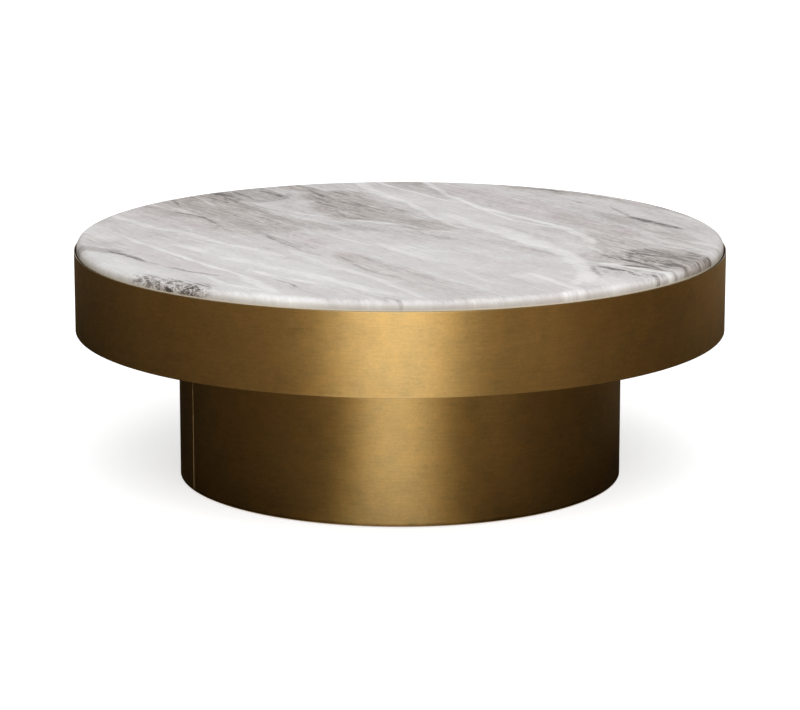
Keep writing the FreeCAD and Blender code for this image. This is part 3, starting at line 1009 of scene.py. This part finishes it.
class TABLE_OT_setting_pads(bpy.types.Operator):
    """Squeezed silicone dots that bed the stone"""

    bl_idname = "cocktail_table.setting_pads"
    bl_label = "Setting pads"

    def execute(self, context):
        ends = places_of("stone_setting_pads")
        low, high = ends[0]
        radius, thickness = (high.x - low.x) / 2, high.z - low.z
        bm = bmesh.new()
        verts = outline(bm, (
            (radius * 0.5, 0), (radius * 0.9, 0), (radius, thickness / 2),
            (radius * 0.9, thickness), (radius * 0.5, thickness),
        ))
        rounded(bm, [verts[2]], thickness * 0.3, 4)
        spun(bm, SHAFT_STEPS)
        repeated(bm, middles(ends, low.z))
        finished(bm, "stone_setting_dots", "stone_setting_pads", clear_silicone())
        return {"FINISHED"}


class TABLE_OT_joining_hardware(bpy.types.Operator):
    """Bolts, washers and tee nuts between the drum, the plinth and the feet"""

    bl_idname = "cocktail_table.joining_hardware"
    bl_label = "Joining hardware"

    def execute(self, context):
        coat_nodes(zinc_steel(), named("joining_", "leveller_tee_nuts"))
        return {"FINISHED"}


def foot_pad(node):
    """Nylon pad with rounded edges, a dished top and the socket for its stem."""
    low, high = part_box(node)
    middle = (low + high) / 2
    radius, top = (high.x - low.x) / 2, high.z - low.z
    socket, floor = sizes().foot_socket / 2, top - sizes().foot_socket_depth
    dish = top * 0.88
    bm = bmesh.new()
    verts = outline(bm, (
        (socket, floor), (socket, top), (radius * 0.42, top), (radius * 0.46, dish),
        (radius * 0.74, dish), (radius * 0.78, top), (radius, top), (radius, 0),
        (radius * 0.88, 0), (radius * 0.86, top * 0.06),
    ))
    for vert in verts[6:8]:
        rounded(bm, [vert], sizes().foot_easing, 5)
    for vert in verts[1:6]:
        rounded(bm, [vert], top * 0.03, 2)
    spun(bm, PAD_STEPS)
    moved_by(bm, middle.x, middle.y, low.z)
    finished(bm, node + "_moulded", node, black_nylon())


def foot_stem(node):
    """Threaded steel stem with a hexagonal collar and a pin."""
    low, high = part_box(node)
    middle = (low + high) / 2
    pin, rod = sizes().stem_pin / 2, sizes().stem_thread / 2
    collar_low = low.z + sizes().foot_socket_depth
    collar_high = collar_low + sizes().stem_collar
    easing = sizes().brass_easing
    root = rod - THREAD_DEPTH * sizes().stem_pitch
    bm = bmesh.new()
    across = high.x - low.x
    ring = bmesh.ops.create_circle(bm, cap_ends=True, segments=6, radius=across / 2)["verts"]
    turned(bm, math.pi / 2)
    top = verts_in(bmesh.ops.extrude_face_region(bm, geom=bm.faces[:])["geom"])
    bmesh.ops.translate(bm, verts=ring, vec=UP * collar_low)
    bmesh.ops.translate(bm, verts=top, vec=UP * collar_high)
    bmesh.ops.recalc_face_normals(bm, faces=bm.faces)
    rounded(bm, bm.edges[:], easing, 3, "EDGES")
    for radius, foot, head in (
        (pin, low.z, collar_low + easing), (root, collar_high - easing, high.z)
    ):
        shaft = bmesh.new()
        verts = outline(shaft, (
            (radius / 2, foot), (radius, foot), (radius, head), (radius / 2, head)
        ))
        for vert in verts[1:3]:
            rounded(shaft, [vert], easing, 2)
        spun(shaft, SHAFT_STEPS)
        mesh = bpy.data.meshes.new(node + "_shaft")
        shaft.to_mesh(mesh)
        shaft.free()
        bm.from_mesh(mesh)
        bpy.data.meshes.remove(mesh)
    start, stop = collar_high + THREAD_START, high.z - THREAD_STOP
    thread(bm, root - THREAD_SUNK, rod, sizes().stem_pitch, start, stop, THREAD_STEPS)
    moved_by(bm, middle.x, middle.y, 0)
    finished(bm, node + "_threaded", node, zinc_steel())


class TABLE_OT_levelling_feet(bpy.types.Operator):
    """Nylon pads on threaded stems under the plinth"""

    bl_idname = "cocktail_table.levelling_feet"
    bl_label = "Levelling feet"

    def execute(self, context):
        for node in named("leveller_pad"):
            foot_pad(node)
        for node in named("leveller_stem"):
            foot_stem(node)
        return {"FINISHED"}


# Studio cards that only the metal sees. The floor card is white before and behind the table and dark
# at its sides: stops by the angle from the front, in half turns, and by the distance, in card radii.
CARD_RADIUS = 9.0
CARD_HEIGHT = 0.003
CARD_HOLE = 0.405
CARD_SHADES = (
    (0.000, (1.44, 1.42, 1.40)),
    (0.040, (1.32, 1.25, 1.14)),
    (0.085, (0.76, 0.64, 0.42)),
    (0.125, (0.40, 0.31, 0.178)),
    (0.165, (0.285, 0.218, 0.137)),
    (0.220, (0.275, 0.204, 0.120)),
    (0.290, (0.215, 0.157, 0.094)),
    (0.370, (0.150, 0.108, 0.064)),
    (0.460, (0.116, 0.085, 0.051)),
    (0.620, (0.090, 0.068, 0.044)),
    (1.000, (0.090, 0.068, 0.044)),
)
# The falls dim the card's glow towards the table: painted shade of the table and a painted falloff of
# light, on the floor the metal sees.
CARD_FALL = (
    (0.045, (0.25, 0.23, 0.185)),
    (0.080, (0.43, 0.41, 0.35)),
    (0.125, (0.53, 0.51, 0.445)),
    (0.175, (0.54, 0.52, 0.455)),
    (0.205, (0.46, 0.44, 0.385)),
    (0.235, (0.74, 0.72, 0.66)),
    (0.268, (1.10,) * 3),
    (0.400, (1.28,) * 3),
)
CARD_SIDE_FALL = (
    (0.045, (0.07,) * 3),
    (0.065, (0.17,) * 3),
    (0.085, (0.29,) * 3),
    (0.150, (0.29,) * 3),
    (0.185, (0.34,) * 3),
    (0.210, (0.74,) * 3),
    (0.250, (1.06,) * 3),
)
CARD_TURN = math.radians(1.8)
BACK_CARD_NARROWER = 2.2
FAR_CARD_WIDER = 0.11
SIDE_CARD_X = 3.0
SIDE_CARD_LENGTH = 18.0
SIDE_CARD_HEIGHT = 4.0
SIDE_CARD_SHADE = (0.095, 0.068, 0.040)
FLOOR_RADIUS = 60.0
FLOOR_GLOW = 0.55
DISC_SIDES = 96
KEY_SPREAD = math.radians(70)
KEY_TURN = (math.radians(52), 0, math.radians(6))
SENSOR_WIDTH = 36
LENS = 154.62


def staged(bm, name, material):
    obj = linked(bm, name, material)
    return obj


def disc(radius):
    bm = bmesh.new()
    bmesh.ops.create_circle(bm, cap_ends=True, segments=DISC_SIDES, radius=radius)
    return bm


def shown_rays(finish):
    """1 for camera, glossy and transmission rays."""
    shown = [
        finish.node("ShaderNodeLightPath", output=ray)
        for ray in ("Is Camera Ray", "Is Glossy Ray", "Is Transmission Ray")
    ]
    return shown[0].at_least(shown[1]).at_least(shown[2])


def white_floor():
    """Floor that takes a soft shadow and is clear from below."""
    floor = new_finish("floor_white")
    floor.set(
        Base_Color=(stage_values().floor,) * 3, Roughness=1.0, Specular_IOR_Level=0.0,
        Emission_Color=floor.grey(shown_rays(floor) * FLOOR_GLOW), Emission_Strength=1.0,
    )
    under = floor.node("ShaderNodeNewGeometry", output="Backfacing")
    clear = floor.node("ShaderNodeBsdfTransparent")
    lit = Lead(floor, floor.shader.outputs[0])
    both = floor.node("ShaderNodeMixShader", None, {0: under, 1: lit, 2: clear})
    floor.join(both, floor.nodes["Material Output"].inputs["Surface"])
    staged(disc(FLOOR_RADIUS), "stage_floor", floor.owner)


def glowing(card, shade):
    """Makes a card's finish black but for its glow."""
    return card.set(
        Base_Color=(0, 0, 0), Specular_IOR_Level=0.0, Emission_Color=shade, Emission_Strength=1.0
    )


def floor_card():
    """Card on the floor, dark under the table and brighter on its right."""
    card = new_finish("card_graded")
    place = card.stretched(card.place, -CARD_TURN, (1, 1, 1))
    x, y = card.axis(place, "X"), card.axis(place, "Y")
    behind = y.over(0)
    distance = card.vector("LENGTH", card.place, output="Value")
    span = distance / CARD_RADIUS
    angle = x.math("ARCTAN2", abs(x), abs(y)) / math.pi * (behind * BACK_CARD_NARROWER + 1)
    angle = angle * (1 - card.fade(span, 0.19, 0.23, FAR_CARD_WIDER))
    sideways = card.fade(angle, 0.04, 0.26)
    fall = card.mixed(sideways, card.ramp(span, CARD_FALL), card.ramp(span, CARD_SIDE_FALL))
    shade = card.mixed(1.0, card.ramp(angle, CARD_SHADES), fall, "MULTIPLY")
    lean = 1 + x / distance * (0.12 + card.fade(y / distance, 0.0, 1.0, 1.3))
    strip = card.fade(abs(angle - 0.24), 0.075, 0.0, 0.30) * x.over(0) * (1 - behind)
    reached = card.fade(distance, CARD_HOLE - 0.04, CARD_HOLE)
    level = (lean.at_least(0.5) + strip) * reached
    shade = card.mixed(1.0, shade, card.grey(level), "MULTIPLY")
    bm = disc(CARD_RADIUS)
    moved_by(bm, 0, 0, CARD_HEIGHT)
    return staged(bm, "stage_floor_card", glowing(card, shade))


def side_cards():
    """Dark cards that stand at both sides."""
    dark = glowing(new_finish("card_dark"), SIDE_CARD_SHADE)
    for side, sign in (("right", 1), ("left", -1)):
        bm = bmesh.new()
        bmesh.ops.create_grid(bm, x_segments=1, y_segments=1, size=0.5)
        bmesh.ops.scale(bm, verts=bm.verts, vec=(SIDE_CARD_HEIGHT, SIDE_CARD_LENGTH, 1))
        turned(bm, math.pi / 2, "Y")
        moved_by(bm, sign * SIDE_CARD_X, 0, SIDE_CARD_HEIGHT / 2)
        yield staged(bm, "stage_side_card_" + side, dark)


class TABLE_OT_stage(bpy.types.Operator):
    """Pale floor, soft light and the camera"""

    bl_idname = "cocktail_table.stage"
    bl_label = "Stage"

    def execute(self, context):
        scene = context.scene
        values = stage_values()
        scene.view_settings.view_transform = "Standard"
        white_floor()
        for card in (floor_card(), *side_cards()):
            card.visible_camera = False
            card.visible_diffuse = False
            card.visible_transmission = False
            card.visible_shadow = False

        scene.world = bpy.data.worlds.new("studio")
        sky = Finish(scene.world, "Background")
        sky.set(Color=(1, 1, 1), Strength=values.sky + shown_rays(sky) * (1 - values.sky))

        lamp = bpy.data.lights.new("key_soft", "SUN")
        lamp.energy = values.key
        lamp.angle = KEY_SPREAD
        key = bpy.data.objects.new("key_soft", lamp)
        key.rotation_euler = KEY_TURN
        key.visible_glossy = False
        scene.collection.objects.link(key)

        view = bpy.data.cameras.new("camera_front")
        view.sensor_width = SENSOR_WIDTH
        view.lens = LENS
        camera = bpy.data.objects.new("camera_front", view)
        camera.location = (0, -values.camera_distance, values.camera_height)
        camera.rotation_euler = (math.pi / 2 - values.camera_tilt, 0, 0)
        scene.collection.objects.link(camera)
        scene.camera = camera
        return {"FINISHED"}


OPERATORS = (
    TABLE_OT_stone_top,
    TABLE_OT_brass_sleeves,
    TABLE_OT_carcass,
    TABLE_OT_wood_screws,
    TABLE_OT_setting_pads,
    TABLE_OT_joining_hardware,
    TABLE_OT_levelling_feet,
    TABLE_OT_stage,
)


class TABLE_PT_sidebar(bpy.types.Panel):
    """Sizes, finishes and the pieces to build"""

    bl_idname = "TABLE_PT_sidebar"
    bl_label = "Cocktail table"
    bl_space_type = "VIEW_3D"
    bl_region_type = "UI"
    bl_category = "Table"

    def draw(self, context):
        for group in (sizes(), finishes(), stage_values()):
            box = self.layout.box()
            for name in group.bl_rna.properties.keys():
                if name not in ("rna_type", "name"):
                    box.prop(group, name)
        for operator in OPERATORS:
            self.layout.operator(operator.bl_idname)


GROUPS = {
    "cocktail_table_sizes": TableSizes,
    "cocktail_table_finishes": TableFinishes,
    "cocktail_table_stage": TableStage,
}
CLASSES = (*GROUPS.values(), *OPERATORS, TABLE_PT_sidebar)


def register():
    for cls in CLASSES:
        bpy.utils.register_class(cls)
    for name, group in GROUPS.items():
        setattr(bpy.types.Scene, name, bpy.props.PointerProperty(type=group))


def unregister():
    for name in GROUPS:
        delattr(bpy.types.Scene, name)
    for cls in reversed(CLASSES):
        bpy.utils.unregister_class(cls)


def main():
    register()
    bpy.ops.cocktail_table.stone_top()
    bpy.ops.cocktail_table.brass_sleeves()
    bpy.ops.cocktail_table.carcass()
    bpy.ops.cocktail_table.wood_screws()
    bpy.ops.cocktail_table.setting_pads()
    bpy.ops.cocktail_table.joining_hardware()
    bpy.ops.cocktail_table.levelling_feet()
    bpy.ops.cocktail_table.stage()


if __name__ == "__main__":
    main()
